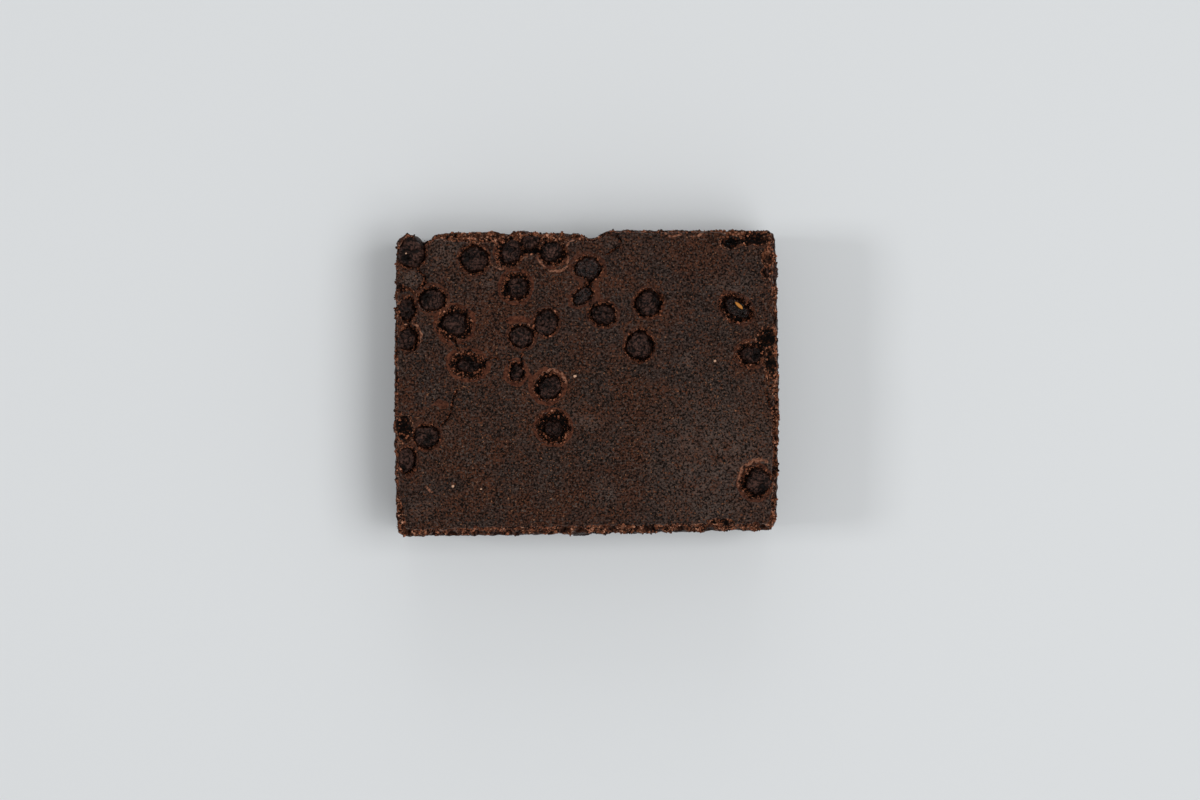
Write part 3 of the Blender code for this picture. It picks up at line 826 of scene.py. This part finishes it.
def crumb_scatter():
    """Scatters crumbs of three shapes over a surface, as thickly as its loose attribute says."""
    tree = bpy.data.node_groups.new("loose_crumbs", "GeometryNodeTree")
    sockets = tree.interface
    sockets.new_socket("Geometry", in_out="INPUT", socket_type="NodeSocketGeometry")
    for name, kind, value in (
        ("Crumbs per Square Metre", "NodeSocketFloat", 1.02e7),
        ("Smallest Radius", "NodeSocketFloat", 0.08 * MM),
        ("Largest Radius", "NodeSocketFloat", 0.30 * MM),
        ("Seed", "NodeSocketInt", 4),
        ("Material", "NodeSocketMaterial", None),
    ):
        socket = sockets.new_socket(name, in_out="INPUT", socket_type=kind)
        if value is not None:
            socket.default_value = value
    sockets.new_socket("Geometry", in_out="OUTPUT", socket_type="NodeSocketGeometry")
    given = add_node(tree, "NodeGroupInput").outputs

    shapes = add_node(tree, "GeometryNodeGeometryToInstance")
    for shape in range(3):
        chunk = add_node(tree, "GeometryNodeMeshCube", {"Size": (1.5, 1.3, 1.1)})
        bumps = add_node(
            tree,
            "ShaderNodeTexNoise",
            {"noise_dimensions": "4D", "W": 3.7 * shape, "Scale": 1.3, "Detail": 2.0},
        )
        centred = add_node(
            tree, "ShaderNodeVectorMath", {"operation": "SUBTRACT", 1: (0.5, 0.5, 0.5)}, {0: bumps.outputs["Color"]}
        )
        moved = add_node(
            tree, "ShaderNodeVectorMath", {"operation": "SCALE", "Scale": 2.2}, {0: centred.outputs[0]}
        )
        lumpy = add_node(
            tree, "GeometryNodeSetPosition", None, {"Geometry": chunk.outputs["Mesh"], "Offset": moved.outputs[0]}
        )
        tree.links.new(lumpy.outputs["Geometry"], shapes.inputs[0])

    share = add_node(
        tree, "GeometryNodeInputNamedAttribute", {"data_type": "FLOAT", "Name": "loose"}
    )
    density = add_node(
        tree,
        "ShaderNodeMath",
        {"operation": "MULTIPLY"},
        {0: share.outputs["Attribute"], 1: given["Crumbs per Square Metre"]},
    )
    spots = add_node(
        tree,
        "GeometryNodeDistributePointsOnFaces",
        None,
        {"Mesh": given["Geometry"], "Density": density.outputs[0], "Seed": given["Seed"]},
    )
    sink = add_node(
        tree, "ShaderNodeVectorMath", {"operation": "SCALE", "Scale": -0.07 * MM}, {0: spots.outputs["Normal"]}
    )
    stuck = add_node(
        tree,
        "GeometryNodeSetPosition",
        None,
        {"Geometry": spots.outputs["Points"], "Offset": sink.outputs[0]},
    )
    draw = add_node(tree, "FunctionNodeRandomValue", {"data_type": "FLOAT"}, {"Seed": given["Seed"]})
    mostly_small = add_node(tree, "ShaderNodeMath", {"operation": "POWER", 1: 2.0}, {0: draw.outputs[1]})
    size = add_node(
        tree,
        "ShaderNodeMapRange",
        None,
        {
            "Value": mostly_small.outputs[0],
            "To Min": given["Smallest Radius"],
            "To Max": given["Largest Radius"],
        },
    )
    turn = add_node(
        tree, "FunctionNodeRandomValue", {"data_type": "FLOAT_VECTOR", 1: (6.28, 6.28, 6.28)}, {"Seed": given["Seed"]}
    )
    which = add_node(
        tree, "FunctionNodeRandomValue", {"data_type": "INT", 4: 0, 5: 2}, {"Seed": given["Seed"]}
    )
    crumbs = add_node(
        tree,
        "GeometryNodeInstanceOnPoints",
        {"Pick Instance": True},
        {
            "Points": stuck.outputs["Geometry"],
            "Instance": shapes.outputs["Instances"],
            "Instance Index": which.outputs[2],
            "Rotation": turn.outputs[0],
            "Scale": size.outputs["Result"],
        },
    )
    chance = add_node(tree, "FunctionNodeRandomValue", {"data_type": "FLOAT", "Seed": 9})
    light = add_node(tree, "GeometryNodeInputNamedAttribute", {"data_type": "FLOAT", "Name": "light"})
    lighter = add_node(
        tree, "ShaderNodeMath", {"operation": "MULTIPLY_ADD", 1: 0.6, 2: 0.4}, {0: light.outputs["Attribute"]}
    )
    tone = add_node(
        tree, "ShaderNodeMath", {"operation": "MULTIPLY"}, {0: chance.outputs[1], 1: lighter.outputs[0]}
    )
    toned = add_node(
        tree,
        "GeometryNodeStoreNamedAttribute",
        {"data_type": "FLOAT", "domain": "INSTANCE", "Name": "tone"},
        {"Geometry": crumbs.outputs["Instances"], "Value": tone.outputs[0]},
    )
    real = add_node(tree, "GeometryNodeRealizeInstances", None, {"Geometry": toned.outputs["Geometry"]})
    finished = add_node(
        tree, "GeometryNodeSetMaterial", None, {"Geometry": real.outputs["Geometry"], "Material": given["Material"]}
    )
    add_node(tree, "NodeGroupOutput", None, {"Geometry": finished.outputs["Geometry"]})
    return tree


def crumb_material():
    """Loose crumb: from nearly black, through brown, to a few sandy bits."""
    material, tree, shader, place = new_material("loose_brownie_crumb")
    tone = add_node(tree, "ShaderNodeAttribute", {"attribute_name": "tone"}).outputs["Fac"]
    ramp = add_node(tree, "ShaderNodeValToRGB", None, {"Fac": tone})
    ramp.color_ramp.elements[0].color = linear("#0d0503")
    ramp.color_ramp.elements[1].color = linear("#cc9a80")
    ramp.color_ramp.elements.new(0.25).color = linear("#1f0f09")
    ramp.color_ramp.elements.new(0.5).color = linear("#5e3422")
    ramp.color_ramp.elements.new(0.8).color = linear("#9b6146")
    tree.links.new(ramp.outputs["Color"], shader.inputs["Base Color"])
    shader.inputs["Roughness"].default_value = 0.7
    shader.inputs["Specular IOR Level"].default_value = 0.1
    return material


def as_plain_mesh(piece):
    """Turns a piece's modifiers into its mesh."""
    mesh = bpy.data.meshes.new_from_object(piece.evaluated_get(bpy.context.evaluated_depsgraph_get()))
    piece.modifiers.clear()
    piece.data = mesh


loose_crumbs = bpy.data.objects.new("loose_crumbs", brownie_top.data)
bpy.context.scene.collection.objects.link(loose_crumbs)
scatter = loose_crumbs.modifiers.new("crumbs", "NODES")
scatter.node_group = crumb_scatter()
for socket in scatter.node_group.interface.items_tree:
    if socket.name == "Material":
        scatter[socket.identifier] = crumb_material()
as_plain_mesh(loose_crumbs)
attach(loose_crumbs, "root")

# ---- Light grains ----------------------------------------------------------------------------------
# Grains of sugar and flour that did not mix in, baked into the top, and one toasted flake that fell
# on a drop. Each is a small lump of its own, pressed a little way into what it lies on.

# Name, what it lies on, place, radii and turn of each.
Grain = namedtuple("Grain", "name bed place radii turn")

GRAINS = (
    Grain("sugar_grain_1", "brownie_top", (-2.3, 1.5), (0.36, 0.28, 0.25), 20),
    Grain("sugar_grain_2", "brownie_top", (27.1, 4.7), (0.28, 0.25, 0.22), 0),
    Grain("sugar_grain_3", "brownie_top", (-27.9, -21.6), (0.30, 0.26, 0.22), 50),
    Grain("sugar_grain_4", "brownie_top", (-22.0, -22.2), (0.20, 0.16, 0.15), 0),
    Grain("sugar_grain_5", "drop_chip_01", (-37.8, 27.3), (0.19, 0.16, 0.20), 0),
    Grain("toasted_flake", "drop_chip_14", (32.2, 16.4), (1.05, 0.34, 0.26), -42),
)
GRAIN_SUNK = 0.3


def grain_piece(grain):
    """A small lump, sunk a little way into the piece that it lies on."""
    above = Vector((*grain.place, 2 * HEIGHT)) * MM
    _, bed, _, _ = bpy.data.objects[grain.bed].ray_cast(above, Vector((0, 0, -1)))
    middle = bed + Vector((0, 0, (1 - GRAIN_SUNK) * grain.radii[2] * MM))
    bm = bmesh.new()
    bmesh.ops.create_icosphere(bm, subdivisions=3, radius=1.0)
    swell = 1 + 0.25 * lumps(np.array([v.co for v in bm.verts]), 0.8, grain.place[0])
    spin = Matrix.Rotation(math.radians(grain.turn), 3, "Z")
    for vert, grown in zip(bm.verts, swell):
        lump = Vector([c * r * grown for c, r in zip(vert.co, grain.radii)])
        vert.co = middle + spin @ lump * MM
    mesh = bpy.data.meshes.new(grain.name)
    bm.to_mesh(mesh)
    bm.free()
    mesh.shade_smooth()
    piece = bpy.data.objects.new(grain.name, mesh)
    bpy.context.scene.collection.objects.link(piece)
    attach(piece, "root")
    return piece


def plain_material(name, colour, roughness):
    material, tree, shader, place = new_material(name)
    shader.inputs["Base Color"].default_value = linear(colour)
    shader.inputs["Roughness"].default_value = roughness
    shader.inputs["Specular IOR Level"].default_value = 0.3
    return material


# Sugar is a matt off-white that takes up the brown of the cake. Toasted oat is a warm, waxy yellow.
baked_sugar = plain_material("baked_sugar", "#c9a084", 0.6)
toasted_oat = plain_material("toasted_oat", "#b9782f", 0.5)
for grain in GRAINS:
    grain_piece(grain).data.materials.append(toasted_oat if grain.name == "toasted_flake" else baked_sugar)

# ---- The table, the light and the camera ----------------------------------------------------------
# A plain pale table under soft daylight that comes mostly from the front right. The camera looks
# straight down.


def table_top():
    """A plain pale table top, larger than the view."""
    bm = bmesh.new()
    bmesh.ops.create_grid(bm, x_segments=8, y_segments=8, size=0.9)
    mesh = bpy.data.meshes.new("table")
    bm.to_mesh(mesh)
    bm.free()
    table = bpy.data.objects.new("table", mesh)
    bpy.context.scene.collection.objects.link(table)
    material, tree, shader, place = new_material("pale_table")
    shader.inputs["Base Color"].default_value = linear("#dfe2e4")
    shader.inputs["Roughness"].default_value = 0.9
    shader.inputs["Specular IOR Level"].default_value = 0.1
    mesh.materials.append(material)
    return table


table_top()


LIGHT_DISTANCE = 1.2


def soft_light(name, bearing, elevation, size, watts):
    """A square panel of light that faces the middle of the cake. Its bearing turns clockwise from the back."""
    bearing, elevation = math.radians(bearing), math.radians(elevation)
    across = math.cos(elevation)
    place = Vector((across * math.sin(bearing), across * math.cos(bearing), math.sin(elevation)))
    data = bpy.data.lights.new(name, "AREA")
    data.shape, data.size, data.energy = "SQUARE", size, watts
    light = bpy.data.objects.new(name, data)
    light.location = place * LIGHT_DISTANCE
    light.rotation_euler = (-place).to_track_quat("-Z", "Y").to_euler()
    bpy.context.scene.collection.objects.link(light)


soft_light("high_right", 90, 65, 0.5, 4.2)
soft_light("high_front_right", 135, 65, 0.5, 2.4)
soft_light("left", 270, 45, 0.25, 3.0)
soft_light("low_back", 0, 25, 0.7, 1.7)

world = bpy.data.worlds.new("room")
world.use_nodes = True
world.node_tree.nodes["Background"].inputs["Color"].default_value = (1.0, 1.0, 1.0, 1.0)
world.node_tree.nodes["Background"].inputs["Strength"].default_value = 0.352
bpy.context.scene.world = world
bpy.context.scene.view_settings.view_transform = "Standard"

LENS, SENSOR, VIEW_WIDTH = 85.0, 36.0, 252.0
VIEW_CENTRE = (2.96, -3.5)
camera_data = bpy.data.cameras.new("camera")
camera_data.lens, camera_data.sensor_width = LENS, SENSOR
camera = bpy.data.objects.new("camera", camera_data)
camera.location = (VIEW_CENTRE[0] * MM, VIEW_CENTRE[1] * MM, (HEIGHT + VIEW_WIDTH * LENS / SENSOR) * MM)
bpy.context.scene.collection.objects.link(camera)
bpy.context.scene.camera = camera
